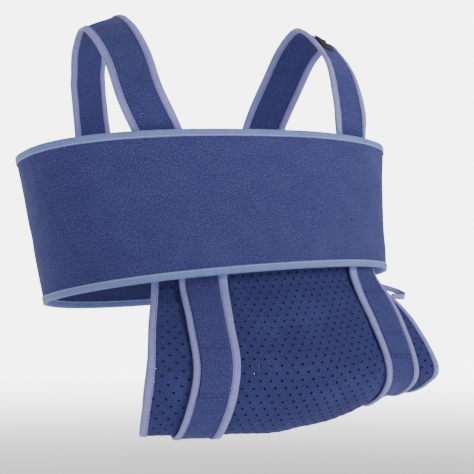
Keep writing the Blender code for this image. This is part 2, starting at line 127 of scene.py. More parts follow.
def band_layer(t, v, out):
    return band_point(t, v) + band_normal(t, v) * np.asarray(out)[..., None]


def band_angle(x, v, back):
    arm_x = BAND_ARM_X + BAND_ARM_SPLAY * v
    c = (x - (BAND_LEFT_X + arm_x) / 2) / ((BAND_LEFT_X - arm_x) / 2)
    t = math.acos(math.copysign(abs(c) ** (BAND_ROUND / 2), c))
    return t if back else -t


def under_band(x, v, layer):
    return band_layer(band_angle(x, v, False), v, -layer)


def station_controls(top_x, front_x, front_y, depth, low_z, lean, low_shift, slope):
    top = under_band(top_x, HEM_V, CRADLE_FRONT_LAYER)[:2]
    front = np.array([front_x, front_y])
    way, far = unit(front - top), np.linalg.norm(front - top)
    back, drop = far - depth, CRADLE_AXIS_Z - low_z
    rear = CRADLE_FRONT_LAYER - CRADLE_BACK_LAYER
    walls = [
        (rear + (back - rear) * 0.20, CRADLE_AXIS_Z + 0.066, 0.0),
        (rear + (back - rear) * 0.80, CRADLE_AXIS_Z + 0.016, 0.3),
        (back + depth * 0.07, CRADLE_AXIS_Z - drop * 0.55, 0.8), (back + depth * 0.45, low_z, 1.0),
        (back + depth * 0.86, CRADLE_AXIS_Z - drop * 0.66, 0.6), (far, CRADLE_AXIS_Z, 0.0),
        (far - far * slope, CRADLE_AXIS_Z + 0.046, 0.0),
    ]
    shift, strap_rear = lean * (BAND_H * 0.25), REAR_LAYER - STRAP_OUT
    controls = [
        under_band(top_x + shift * 2, 0.60, strap_rear), under_band(top_x + shift, 0.40, strap_rear),
        under_band(top_x, HEM_V, CRADLE_BACK_LAYER),
    ]
    for d, z, share in walls:
        p = top + way * d
        controls.append(np.array([p[0] + low_shift * share, p[1], z]))
    controls += [
        under_band(top_x, -0.05, CRADLE_FRONT_LAYER + 0.001), under_band(top_x, HEM_V, CRADLE_FRONT_LAYER),
        under_band(top_x + shift, 0.40, CRADLE_FRONT_LAYER), under_band(top_x + shift * 2, 0.68, CRADLE_FRONT_LAYER),
    ]
    return controls


CONTROLS = np.array([station_controls(*s) for s in STATIONS])
LAST = len(STATIONS) - 1


def trough(s, q):
    """Middle surface of the cradle at station s and control index q, arrays of one shape."""
    s, q = np.broadcast_arrays(np.asarray(s, float), np.asarray(q, float))
    rows = catmull(CONTROLS, s.ravel())
    return catmull(rows, q.ravel(), own_rows=True).reshape(s.shape + (3,))


def trough_normal(s, q):
    s, q = np.broadcast_arrays(np.asarray(s, float), np.asarray(q, float))
    e = 0.04
    return unit(np.cross(trough(s + e, q) - trough(s - e, q), trough(s, q + e) - trough(s, q - e)))


def station_step(s, q, width):
    """How much s changes over a width along the cradle."""
    return width * 0.1 / np.linalg.norm(trough(s + 0.05, q) - trough(s - 0.05, q), axis=-1)


# ---- shoulder straps
def along_path(values, lengths, places):
    """A smooth curve through values placed at lengths, read at places."""
    values, lengths = np.array(values, float), np.array(lengths)
    flat = values.reshape(len(values), -1)
    rates = np.diff(flat, axis=0) / np.diff(lengths)[:, None]
    before, after = np.diff(lengths)[:-1, None], np.diff(lengths)[1:, None]
    slopes = np.vstack([rates[:1], (rates[:-1] * after + rates[1:] * before) / (before + after), rates[-1:]])
    i = np.clip(np.searchsorted(lengths, places) - 1, 0, len(values) - 2)
    span = (lengths[i + 1] - lengths[i])[:, None]
    f = (places[:, None] - lengths[i][:, None]) / span
    curve = (2 * f**3 - 3 * f**2 + 1) * flat[i] + (3 * f**2 - 2 * f**3) * flat[i + 1]
    curve += span * ((f**3 - 2 * f**2 + f) * slopes[i] + (f**3 - f**2) * slopes[i + 1])
    return curve.reshape((len(places),) + values.shape[1:])


def band_curl(t, v, layer):
    a, b, c = (band_layer(t + d, v, layer) for d in (-0.15, 0.0, 0.15))
    return np.linalg.norm(b - (a + c) / 2) / (np.linalg.norm(c - a) / 2) ** 2


def frames_along(centres, acrosses, curls):
    ahead = unit(np.gradient(centres, axis=0))
    w = unit(acrosses - ahead * (acrosses * ahead).sum(-1, keepdims=True))
    return centres, w, unit(np.cross(ahead, w)), np.asarray(curls, float)


def tab_root(side):
    v = 1 - TAB_TOP_DROP / BAND_H
    t = band_angle(side * TAB_X, v, True)
    n = band_normal(t, v)
    w = unit(np.array([n[1], -n[0], 0.0]))
    return band_layer(t, v, TAB_OUT), (w if w[0] > 0 else -w), -n, band_curl(t, v, TAB_OUT)


def shoulder_frames(side, count):
    controls, acrosses, curls = [], [], []
    for right_x, left_x, v in [(-0.066, 0.157, 0.37), (-0.078, 0.153, 0.65), (-0.094, 0.148, 0.92)]:
        t = band_angle(right_x if side < 0 else left_x, v, False)
        n = band_normal(t, v)
        controls.append(band_layer(t, v, -STRAP_LAYER))
        acrosses.append(unit(np.array([-n[1], n[0], 0.0])))
        curls.append(band_curl(t, v, -STRAP_LAYER))
    for x, y, z, slope in SHOULDER_PATH:
        front_left = side > 0 and y < 0
        shift = (0.018 if z < -0.06 else 0.010) if front_left and z < -0.03 else 0.0
        controls.append(np.array([side * x + shift, y + (0.010 if front_left and z < -0.06 else 0.0), z]))
        turn = 0.36 if z < -0.03 else 0.12
        acrosses.append(unit(np.array([1.0, side * math.copysign(turn, -y), -side * slope])))
        curls.append(0.6)
    root, w, _, curl = tab_root(side)
    for rise in (0.020, 0.0016):
        controls.append(root + np.array([0, 0, rise]))
        acrosses.append(w)
        curls.append(curl)
    acrosses = [a if a[0] > 0 else -a for a in acrosses]
    lengths = lengths_of(controls)
    places = np.linspace(0, lengths[-1], count)
    return frames_along(*[along_path(x, lengths, places) for x in (controls, acrosses, curls)])


def tab_frames(side, count):
    root, w, _, curl = tab_root(side)
    centres = root - np.outer(np.linspace(0.001, TAB_LENGTH, count), [0, 0, 1.0])
    return frames_along(centres, np.tile(w, (count, 1)), np.full(count, curl))


def ribbon(frames, x, out=0.0):
    """Points x across a ribbon and out along its normal, for every frame and every x."""
    c, w, n, curl = frames
    x = np.asarray(x, float)
    tilt = unit(n[:, None] - w[:, None] * (2 * curl[:, None] * x)[..., None])
    return c[:, None] + w[:, None] * x[..., None] + n[:, None] * (curl[:, None] * x**2)[..., None] + tilt * out, tilt


# ---- meshes
def noise_field(points, size, seed):
    """Smooth noise from -1 to 1 with features about size across: a few crossed waves of fixed random directions."""
    r = np.random.default_rng(seed)
    total = np.zeros(points.shape[:-1])
    for _ in range(7):
        way = unit(r.normal(size=3))
        total += np.sin(points @ way * (2 * math.pi / (size * r.uniform(0.7, 1.6))) + r.uniform(0, 6.3))
    return total / 4.0


def add_mesh(name, verts, faces, uv, finish, body, replaces):
    """An object made from arrays, riding on a body. faces is a list of arrays of faces of one size each."""
    mesh = bpy.data.meshes.new(name)
    loops = np.concatenate([f.ravel() for f in faces]).astype(np.int32)
    sizes = np.concatenate([np.full(len(f), f.shape[1]) for f in faces])
    mesh.vertices.add(len(verts))
    mesh.vertices.foreach_set("co", np.asarray(verts, np.float32).ravel())
    mesh.loops.add(len(loops))
    mesh.loops.foreach_set("vertex_index", loops)
    mesh.polygons.add(len(sizes))
    mesh.polygons.foreach_set("loop_start", np.concatenate([[0], np.cumsum(sizes)[:-1]]).astype(np.int32))
    layer = mesh.uv_layers.new(name="cloth")
    layer.data.foreach_set("uv", np.asarray(uv, np.float32)[loops].ravel())
    mesh.update(calc_edges=True)
    mesh.validate()
    mesh.shade_smooth()
    made = bpy.data.objects.new(name, mesh)
    bpy.context.scene.collection.objects.link(made)
    mesh.materials.append(finish)
    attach(made, body)
    if replaces:
        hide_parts(*replaces)
    return made


def grid_faces(rows, columns, start=0, flip=False):
    a = (np.arange(rows - 1)[:, None] * columns + np.arange(columns - 1)).ravel() + start
    quads = np.stack([a, a + 1, a + columns + 1, a + columns], axis=1)
    return quads[:, ::-1] if flip else quads


def slab(middle, normal, thickness, uv):
    """Closed cloth from a grid of middle points: both faces and the four edges."""
    rows, columns = middle.shape[:2]
    top, bottom = middle + normal * thickness / 2, middle - normal * thickness / 2
    count = rows * columns
    verts = np.concatenate([top.reshape(-1, 3), bottom.reshape(-1, 3)])
    index = np.arange(count).reshape(rows, columns)
    ring = np.concatenate([index[0, :-1], index[:-1, -1], index[-1, :0:-1], index[:0:-1, 0]])
    after = np.roll(ring, -1)
    rim = np.stack([ring, ring + count, after + count, after], axis=1)
    faces = np.concatenate([grid_faces(rows, columns), grid_faces(rows, columns, count, True), rim])
    return verts, [faces], np.concatenate([uv.reshape(-1, 2)] * 2)


def outward(verts, faces):
    """Whether a closed mesh's faces point out, by its signed volume."""
    volume = 0.0
    verts = verts - verts.mean(0)
    for f in faces:
        for k in range(1, f.shape[1] - 1):
            volume += (verts[f[:, 0]] * np.cross(verts[f[:, k]], verts[f[:, k + 1]])).sum()
    return volume > 0


def closed(name, parts, body, slot, replaces=(), finish=None):
    """One object from closed pieces, each a (verts, faces, uv), turned to face out. Its finish is its slot's own."""
    verts, faces, uvs, start = [], [], [], 0
    for v, found, uv in parts:
        step = 1 if outward(v, found) else -1
        faces += [f[:, ::step] + start for f in found]
        verts.append(v)
        uvs.append(uv)
        start += len(v)
    verts, uv, finish = np.concatenate(verts), np.concatenate(uvs), finish or FINISH[slot]
    return add_mesh(name, verts, faces, uv, finish, body, replaces)


def lengths_of(points):
    return np.concatenate([[0], np.cumsum(np.linalg.norm(np.diff(points, axis=0), axis=-1))])


def tape_profile(cloth_t, leg):
    """Places round a folded tape, outside then inside: (distance in from the cloth's edge, height, share of puff)."""
    h, t = cloth_t / 2 + TAPE_GAP, TAPE_T
    top = [(leg, h, 0.0), (leg + 0.0003, h + t * 0.45, 0.0), (leg - 0.0001, h + t * 0.95, 0.2)]
    top += [(leg * x, h + t, puff) for x, puff in ((TAPE_SEAM, 0.0), (0.62, 0.8), (0.36, 1.0), (0.14, 0.6))]
    top.append((-0.0003, h + t * 0.75, 0.2))
    fold = [(-0.0010, h * 0.62, 0.0), (-0.0012, 0.0, 0.0)]
    outside = top + fold
    outside += [(d, -z, p) for d, z, p in reversed(top + fold[:1])]
    inside = [(leg * 0.5, -h, 0.0), (-0.0002, -h * 0.7, 0.0), (-0.0004, 0.0, 0.0), (-0.0002, h * 0.7, 0.0),
              (leg * 0.5, h, 0.0)]
    return np.array(outside + inside)


def tape(edge, inner, normal, inner_normal, cloth_t, pitch):
    """Edge tape as a closed tube of its folded section, dimpled at each stitch. Arrays along the edge, one row each."""
    profile = tape_profile(cloth_t, TAPE_LEG)
    along = lengths_of(edge)
    into = unit(inner - edge)
    share = np.clip(profile[:, 0] / TAPE_LEG, 0, 1)[None, :, None]
    n = unit(normal[:, None] * (1 - share) + inner_normal[:, None] * share)
    base = edge[:, None] + into[:, None] * np.minimum(profile[:, 0], 0)[None, :, None]
    base = base + (inner - edge)[:, None] * np.maximum(profile[:, 0] / TAPE_LEG, 0)[None, :, None]
    dimple = 0.5 - 0.5 * np.cos(along / pitch * 2 * math.pi)
    waver = 1 + 0.35 * noise_field(edge, 0.02, 5)
    near_seam = np.exp(-(((profile[:, 0] - TAPE_LEG * TAPE_SEAM) / 0.0009) ** 2))
    puff = 0.00022 * profile[:, 2] * waver[:, None] - 0.00016 * near_seam * dimple[:, None]
    height = profile[:, 1] + np.sign(profile[:, 1]) * puff
    points = base + n * height[..., None]
    rows, columns = points.shape[:2]
    count = rows * columns
    a = np.arange(rows - 1)[:, None] * columns + np.arange(columns)
    b = np.arange(rows - 1)[:, None] * columns + (np.arange(columns) + 1) % columns
    faces = np.stack([a, b, b + columns, a + columns], axis=-1).reshape(-1, 4)
    caps = np.array([np.arange(columns)[::-1], count - columns + np.arange(columns)])
    around = np.concatenate([[0], np.cumsum(np.hypot(*np.diff(profile[:, :2], axis=0).T))])
    uv = np.stack(np.broadcast_arrays(along[:, None], around[None]), axis=-1).reshape(-1, 2)
    return points.reshape(-1, 3), [faces, caps], uv


# ---- thread
def capsule(length, radius, rings=5, sides=6):
    """One stitch lying along x, its middle lifted and its ends going down into the cloth."""
    x = np.linspace(-0.5, 0.5, rings) * length
    lift = np.cos(np.linspace(-0.5, 0.5, rings) * math.pi) * radius * 1.1 - radius * 0.5
    size = radius * np.sqrt(np.clip(1 - (np.linspace(-1, 1, rings) * 0.93) ** 4, 0.1, 1))
    a = np.arange(sides) / sides * 2 * math.pi
    points = [[x[i], size[i] * math.cos(k), lift[i] + size[i] * math.sin(k)] for i in range(rings) for k in a]
    around = [(k, (k + 1) % sides) for k in range(sides)]
    faces = [[i * sides + k, i * sides + m, (i + 1) * sides + m, (i + 1) * sides + k]
             for i in range(rings - 1) for k, m in around]
    caps = np.array([list(range(sides))[::-1], [(rings - 1) * sides + k for k in range(sides)]])
    return np.array(points), np.array(faces), caps


def stitches(points, ahead, up, length, radius):
    """A stitch at each point, along ahead and standing on the side up points to."""
    verts, faces, caps = capsule(length, radius)
    ahead = unit(ahead)
    side = unit(np.cross(up, ahead))
    up = np.cross(ahead, side)
    placed = (points[:, None] + ahead[:, None] * verts[None, :, :1] + side[:, None] * verts[None, :, 1:2]
              + up[:, None] * verts[None, :, 2:])
    starts = (np.arange(len(points)) * len(verts))[:, None, None]
    uv = np.tile(verts[:, :2], (len(points), 1))
    found = [(faces[None] + starts).reshape(-1, 4), (caps[None] + starts).reshape(-1, caps.shape[1])]
    return placed.reshape(-1, 3), found, uv


def seam(line, up, pitch, length, radius, slant=0.0):
    """Running stitches along a line of points with normals; slant turns them alternately for a zigzag."""
    along = lengths_of(line)
    count = max(2, int(along[-1] / pitch))
    at = (np.arange(count) + 0.5) * along[-1] / count

    def read(values):
        return np.stack([np.interp(at, along, values[:, k]) for k in range(3)], axis=1)

    ahead, normal, place = read(np.gradient(line, axis=0)), unit(read(up)), read(line)
    ahead = unit(ahead)
    if slant:
        sign = np.where(np.arange(count) % 2, 1.0, -1.0)[:, None]
        ahead = unit(ahead + np.cross(normal, ahead) * sign * slant)
    return stitches(place, ahead, normal, length, radius)


# ---- materials
def srgb(r, g, b):
    return tuple((c / 255 / 12.92 if c <= 10 else ((c / 255 + 0.055) / 1.055) ** 2.4) for c in (r, g, b)) + (1.0,)


class Look:
    """One procedural material. Its textures are read in metres of flat cloth, from the "cloth" UV layer."""

    def __init__(self, name, roughness, sheen, tint, specular=0.3):
        self.made = bpy.data.materials.new(name)
        self.made.use_nodes = True
        self.tree = self.made.node_tree
        self.shader = self.tree.nodes["Principled BSDF"]
        for key, value in (("Roughness", roughness), ("Sheen Weight", sheen), ("Sheen Roughness", 0.45),
                           ("Sheen Tint", tint), ("Specular IOR Level", specular)):
            self.shader.inputs[key].default_value = value
        self.uv = self.node("ShaderNodeUVMap")
        self.uv.uv_map = "cloth"

    def node(self, kind, **values):
        made = self.tree.nodes.new(kind)
        for key, value in values.items():
            setattr(made, key, value)
        return made

    def link(self, value, socket):
        if hasattr(value, "is_output"):
            self.tree.links.new(value, socket)
        else:
            socket.default_value = value

    def math(self, operation, a, b=0.0):
        made = self.node("ShaderNodeMath", operation=operation)
        self.link(a, made.inputs[0])
        self.link(b, made.inputs[1])
        return made.outputs[0]

    def place(self, scale=(1, 1, 1), turn=0.0, shift=(0, 0, 0)):
        made = self.node("ShaderNodeMapping")
        made.inputs["Scale"].default_value = scale
        made.inputs["Rotation"].default_value = (0, 0, turn)
        made.inputs["Location"].default_value = shift
        self.tree.links.new(self.uv.outputs[0], made.inputs["Vector"])
        return made.outputs[0]

    def noise(self, size, detail=2.0, rough=0.5, stretch=(1, 1), turn=0.0, shift=(0, 0, 0)):
        """Noise from 0 to 1 with features about size across, in metres."""
        made = self.node("ShaderNodeTexNoise", noise_dimensions="3D")
        made.inputs["Scale"].default_value = 1.0
        made.inputs["Detail"].default_value = detail
        made.inputs["Roughness"].default_value = rough
        place = self.place((stretch[0] / size, stretch[1] / size, 1), turn, shift)
        self.tree.links.new(place, made.inputs["Vector"])
        return made.outputs["Fac"]

    def ribs(self, pitch, along_u=True, wobble=0.0):
        """A smooth wave from 0 to 1 across the cloth, one for each pitch metres."""
        split = self.node("ShaderNodeSeparateXYZ")
        self.tree.links.new(self.uv.outputs[0], split.inputs[0])
        place = split.outputs[0 if along_u else 1]
        if wobble:
            drift = self.math("MULTIPLY", self.math("SUBTRACT", self.noise(pitch * 9), 0.5), wobble)
            place = self.math("ADD", place, drift)
        wave = self.math("SINE", self.math("MULTIPLY", place, 2 * math.pi / pitch))
        return self.math("ADD", self.math("MULTIPLY", wave, 0.5), 0.5)

    def mix(self, share, a, b):
        made = self.node("ShaderNodeMix", data_type="RGBA")
        self.link(share, made.inputs[0])
        self.link(a, made.inputs[6])
        self.link(b, made.inputs[7])
        return made.outputs[2]

    def spread(self, value, low, high, to_low=0.0, to_high=1.0):
        made = self.node("ShaderNodeMapRange", interpolation_type="SMOOTHSTEP")
        for key, x in zip(("From Min", "From Max", "To Min", "To Max"), (low, high, to_low, to_high)):
            made.inputs[key].default_value = x
        self.tree.links.new(value, made.inputs["Value"])
        return made.outputs["Result"]

    def over(self, base, tone, value, low, high, first, last):
        """tone laid over base, by a share that goes from first to last as value goes from low to high."""
        return self.mix(self.spread(value, low, high, first, last), base, tone)

    def finish(self, colour, bumps, roughness=None):
        """bumps is a list of (height, depth in metres)."""
        self.tree.links.new(colour, self.shader.inputs["Base Color"])
        if roughness is not None:
            self.tree.links.new(roughness, self.shader.inputs["Roughness"])
        total = None
        for height, depth in bumps:
            part = self.math("MULTIPLY", height, depth)
            total = part if total is None else self.math("ADD", total, part)
        bump = self.node("ShaderNodeBump")
        bump.inputs["Strength"].default_value = 1.0
        bump.inputs["Distance"].default_value = 1.0
        self.tree.links.new(total, bump.inputs["Height"])
        self.tree.links.new(bump.outputs[0], self.shader.inputs["Normal"])
        return self.made


def loop_fabric():
    """Brushed loop nap: tangled fibre in three tones, lying in soft patches, with pale worn fluff."""
    look = Look("loop_fabric_nap", 0.92, 0.22, srgb(150, 160, 215))
    shade, body, bright, worn_tone = (srgb(*tone) for tone in NAP)
    tangle = look.noise(0.0016, 3.0, 0.62)
    heather = look.noise(0.0012, 3.0, 0.6, (1.0, 0.7), 0.2, (7, 2, 0))
    fibre = look.noise(0.0005, 2.0, 0.6, (0.35, 1.0), 0.5)
    cross = look.noise(0.0005, 2.0, 0.6, (1.0, 0.35), -0.4, (0.3, 0.1, 0))
    patch = look.noise(0.021, 3.0, 0.6)
    worn = look.noise(0.055, 2.0, 0.5, shift=(3, 1, 0))
    knit = look.math("MULTIPLY", look.ribs(0.00125, True, 0.0006), look.ribs(0.0016, False, 0.0006))
    crossed = look.math("MULTIPLY", look.math("ADD", fibre, cross), 0.25)
    nap = look.math("ADD", look.math("MULTIPLY", tangle, 0.5), crossed)
    base = look.mix(look.spread(nap, 0.40, 0.60), shade, body)
    base = look.over(base, bright, heather, 0.46, 0.70, 0.0, 0.42)
    base = look.over(base, bright, fibre, 0.60, 0.76, 0.0, 0.45)
    base = look.over(base, bright, knit, 0.45, 0.95, 0.0, 0.20)
    base = look.over(base, shade, patch, 0.40, 0.75, 0.0, 0.10)
    base = look.over(base, worn_tone, worn, 0.50, 0.78, 0.0, 0.08)
    rough = look.spread(patch, 0.3, 0.7, 0.84, 0.97)
    return look.finish(base, [(nap, 0.00036), (heather, 0.00020), (knit, 0.00007)], rough)


def perforated_foam():
    """Fine tricot face over foam: rows of tiny knit stitches with a slight mottle."""
    look = Look("perforated_foam_tricot", 0.80, 0.12, srgb(140, 150, 210))
    shade, body, bright = (srgb(*tone) for tone in FOAM)
    wale, course = look.ribs(0.00062, True, 0.00015), look.ribs(0.00080, False, 0.00015)
    stitch = look.math("MULTIPLY", wale, course)
    grain = look.noise(0.0006, 2.0, 0.6)
    mottle = look.noise(0.0026, 3.0, 0.6)
    speck = look.noise(0.0013, 2.0, 0.6, shift=(2, 5, 0))
    cloud = look.noise(0.045, 2.0, 0.5)
    base = look.mix(look.spread(grain, 0.34, 0.66), shade, body)
    base = look.over(base, bright, stitch, 0.3, 1.0, 0.0, 0.35)
    base = look.over(base, shade, mottle, 0.40, 0.66, 0.0, 0.45)
    base = look.over(base, bright, speck, 0.54, 0.72, 0.0, 0.55)
    base = look.over(base, bright, cloud, 0.45, 0.75, 0.0, 0.20)
    rough = look.spread(grain, 0.3, 0.7, 0.72, 0.90)
    return look.finish(base, [(stitch, 0.00010), (grain, 0.00012), (mottle, 0.00010)], rough)


def tape_weave(name, tones):
    """Elastic binding: fine ribs across the tape, a soft halo of yarn and paler worn high spots."""
    look = Look(name, 0.72, 0.18, srgb(215, 220, 240))
    body, bright, shade = (srgb(*tone) for tone in tones)
    ribs = look.ribs(0.00072, True, 0.00012)
    wales = look.ribs(0.00055, False, 0.00010)
    yarn = look.noise(0.00045, 2.0, 0.6, (1.0, 0.5))
    uneven = look.noise(0.0060, 3.0, 0.6)
    soil = look.noise(0.032, 3.0, 0.6, shift=(1, 4, 0))
    base = look.mix(look.spread(yarn, 0.34, 0.66), body, bright)
    base = look.over(base, shade, ribs, 0.15, 0.95, 0.35, 0.0)
    base = look.over(base, shade, wales, 0.2, 0.9, 0.16, 0.0)
    base = look.over(base, bright, uneven, 0.40, 0.72, 0.0, 0.30)
    base = look.over(base, shade, soil, 0.52, 0.80, 0.0, 0.28)
    rough = look.spread(yarn, 0.3, 0.7, 0.62, 0.84)
    return look.finish(base, [(ribs, 0.00009), (wales, 0.00004), (yarn, 0.00007), (uneven, 0.00006)], rough)


def thread_look(name, low, high):
    """Twisted sewing thread, glossier than the cloth it lies on."""
    look = Look(name, 0.55, 0.10, srgb(235, 235, 250), 0.4)
    twist = look.ribs(0.00042, True, 0.0)
    lint = look.noise(0.0009, 2.0, 0.5)
    base = look.mix(look.spread(lint, 0.3, 0.7), srgb(*low), srgb(*high))
    base = look.over(base, srgb(*low), twist, 0.2, 0.9, 0.35, 0.0)
    return look.finish(base, [(twist, 0.00005), (lint, 0.00003)])


def hook_look():
    """Moulded nylon hook tape: dark, waxy and dusty with lint."""
    look = Look("hook_nylon", 0.50, 0.08, srgb(160, 165, 190), 0.45)
    lint = look.noise(0.0016, 3.0, 0.65)
    weave = look.math("MULTIPLY", look.ribs(0.0008, True), look.ribs(0.0008, False))
    dust = look.noise(0.012, 3.0, 0.6)
    base = look.mix(look.spread(lint, 0.55, 0.78, 0.0, 0.5), srgb(22, 24, 40), srgb(74, 80, 118))
    base = look.over(base, srgb(46, 50, 78), dust, 0.5, 0.8, 0.0, 0.3)
    return look.finish(base, [(weave, 0.00010), (lint, 0.00006)], look.spread(lint, 0.3, 0.8, 0.42, 0.75))


def label_look():
    """Black satin label: long floats of yarn across a fine warp."""
    look = Look("label_satin", 0.45, 0.10, srgb(190, 190, 205), 0.5)
    weft, warp = look.ribs(0.00032, False, 0.00003), look.ribs(0.00024, True)
    yarn = look.noise(0.0004, 2.0, 0.6, (0.3, 1.0))
    wear = look.noise(0.0035, 3.0, 0.6)
    base = look.mix(look.spread(yarn, 0.35, 0.65), srgb(20, 21, 27), srgb(40, 41, 50))
    base = look.over(base, srgb(12, 12, 16), weft, 0.2, 0.9, 0.5, 0.0)
    base = look.over(base, srgb(66, 67, 78), wear, 0.55, 0.80, 0.0, 0.25)
    rough = look.spread(yarn, 0.3, 0.7, 0.36, 0.56)
    return look.finish(base, [(weft, 0.00005), (warp, 0.00003), (yarn, 0.00003)], rough)


# ---- tones: shade, body, bright and worn; for tapes body, bright and shade
NAP = [(34, 35, 84), (62, 65, 124), (112, 116, 178), (98, 104, 162)]
FOAM = [(34, 36, 86), (52, 56, 114), (78, 84, 146)]
LOOP, MESH = loop_fabric(), perforated_foam()
LILAC = tape_weave("lilac_tape_weave", [(142, 142, 208), (170, 170, 230), (100, 102, 172)])
SKY = tape_weave("sky_tape_weave", [(112, 130, 194), (140, 156, 214), (78, 94, 158)])
HOOK, LABEL = hook_look(), label_look()
THREAD = {"lilac_tape": thread_look("lilac_thread", (58, 62, 132), (92, 96, 164)),
          "sky_tape": thread_look("sky_thread", (190, 200, 236), (226, 232, 250))}
DARK_THREAD = thread_look("navy_thread", (14, 16, 44), (28, 32, 72))
FINISH = {"loop_fabric": LOOP, "perforated_foam": MESH, "lilac_tape": LILAC, "sky_tape": SKY,
          "hook": HOOK, "label": LABEL}
# each kind of binding: the cloth's thickness, the tape's slot, and its stitches' pitch, length, radius and slant
BINDING = {"band": (BAND_T, "sky_tape", 0.0033, 0.0023, 0.00031, 0.0),
           "strap": (STRAP_T, "lilac_tape", 0.0024, 0.0026, 0.00028, 0.9),
           "cradle": (CRADLE_T, "lilac_tape", 0.0033, 0.0023, 0.00031, 0.0)}


# ---- chest band and its closing flap
def ring_angles(start, end, count):
    fine = np.linspace(start, end, 1500)
    along = lengths_of(band_point(fine, 0.5))
    return np.interp(np.linspace(0, along[-1], count), along, fine)


def band_cloth(t, v, out=0.0):
    """Middle of the band's cloth with the slack of worn fabric, and its normal."""
    t, v = np.broadcast_arrays(t, v)
    p, n = band_point(t, v), band_normal(t, v)
    slack = 0.0007 * noise_field(p, 0.13, 11) + 0.00035 * noise_field(p, 0.035, 12)
    edge = np.minimum(v, 1 - v) * BAND_H
    pucker = 0.00045 * np.exp(-edge / 0.011) * noise_field(p * np.array([1, 1, 0.1]), 0.016, 13)
    inner = np.sin(math.pi * np.clip(v, 0, 1))
    crease = 0.0011 * np.exp(-(((t + 2.75 + 0.5 * (v - 0.5)) / 0.035) ** 2)) * inner
    pinch = -0.0035 * np.exp(-(((t + 0.05) / 0.40) ** 2)) * inner**2
    return p + n * (slack + pucker - crease + pinch + out)[..., None], n


def band_uv(t, v):
    along = lengths_of(band_point(t[:, 0], 0.5))
    return np.stack([np.broadcast_to(along[:, None], t.shape), v * BAND_H], axis=-1)


def band_sheet(name, start, end, count, out, body, node):
    inset = CLOTH_INSET / BAND_H
    t, v = np.meshgrid(ring_angles(start, end, count), np.linspace(inset, 1 - inset, 46), indexing="ij")
    middle, normal = band_cloth(t, v, out)
    return closed(name, [slab(middle, normal, BAND_T, band_uv(t, v))], body, "loop_fabric", [node])


def taped(name, kind, edge, inner, n_edge, n_inner, body, node):
    """A tape with its stitching on both faces of the cloth."""
    cloth_t, slot, pitch, *stitch = BINDING[kind]
    made = closed(name, [tape(edge, inner, n_edge, n_inner, cloth_t, pitch)], body, slot, [node])
    line = edge + (inner - edge) * TAPE_SEAM
    rows = []
    for side in (1, -1):
        on = line + n_inner * side * (cloth_t / 2 + TAPE_GAP + TAPE_T)
        rows.append(seam(on, n_inner * side, pitch, *stitch))
    return made, closed(name + "_stitching", rows, body, slot, finish=THREAD[slot])


def band_tapes(word, start, end, out, body):
    """The tapes along the band's or the flap's upper and lower edges."""
    t = ring_angles(start, end, int(abs(start - end) / 0.0058))
    found = []
    for label, v, inward in (("upper", 1.0, -1), ("lower", 0.0, 1)):
        edge, n_edge = band_cloth(t, v + inward * CLOTH_INSET / BAND_H, out)
        inner, n_inner = band_cloth(t, v + inward * (CLOTH_INSET + TAPE_LEG) / BAND_H, out)
        found += taped(f"{word}_{label}_edge_tape", "band", edge, inner, n_edge, n_inner, body, f"{word}_{label}_tape")
    return found


def make_band():
    root, tail = band_angle(FLAP_ROOT_X, 0.5, True), band_angle(BAND_END_X, 0.5, True) - 2 * math.pi
    band = band_sheet("chest_band_cloth", root, tail, 400, 0.0, "sling", "chest_band")
    goes = band_tapes("band", root, tail, 0.0, "sling")
    end, near = band_angle(FLAP_END_X, 0.5, True), band_angle(FLAP_ROOT_X - 0.001, 0.5, True)
    flap = band_sheet("closure_flap_cloth", end, near, 44, FLAP_OUT, "closure", "closure_flap")
    goes = band_tapes("flap", end, near, FLAP_OUT, "closure")
    inset = 0.0095 / BAND_H
    v = np.linspace(inset, 1 - inset, 150)
    edge, n_edge = band_cloth(end, v, FLAP_OUT)
    inner, n_inner = band_cloth(band_angle(FLAP_END_X + TAPE_LEG, 0.5, True), v, FLAP_OUT)
    goes += taped("flap_end_edge_tape", "band", edge, inner, n_edge, n_inner, "closure", "flap_end_tape")
    make_hooks("flap_hook_field", hook_grid_band(), "closure", "flap_hook_strip")


# ---- hook patches
def hooks(middle, normal, thickness, uv):
    """A backing with short bent hooks standing on the side its normal points to."""
    parts = [slab(middle, normal, thickness * 0.5, uv)]
    across = unit(middle[1:-1, 2:] - middle[1:-1, :-2])
    where, up, across = (x.reshape(-1, 3) for x in (middle[1:-1, 1:-1], normal[1:-1, 1:-1], across))
    lean = unit(up + across * 0.5)
    base = where + up * thickness * 0.25
    parts.append(stitches(base + lean * 0.0005, lean, across, 0.0011, 0.00014))
    return parts


def hook_grid_band():
    start, end = band_angle(FLAP_END_X + 0.012, 0.5, True), band_angle(FLAP_END_X + 0.062, 0.5, True)
    t, v = np.meshgrid(ring_angles(start, end, 34), np.linspace(0.10, 0.90, 80), indexing="ij")
    middle, normal = band_cloth(t, v, FLAP_OUT - 0.00315)
    return middle, -normal, band_uv(t, v)


def make_hooks(name, found, body, node):
    middle, normal, uv = found
    closed(name, hooks(middle, normal, 0.0010, uv), body, "hook", [node])


# ---- straps
def strap_uv(middle, x):
    along = lengths_of(middle[:, middle.shape[1] // 2])
    return np.stack(np.broadcast_arrays(x[None], along[:, None]), axis=-1)


def ruffle(points, amount=0.00045):
    return amount * (noise_field(points, 0.045, 21) + 0.5 * noise_field(points, 0.016, 22))


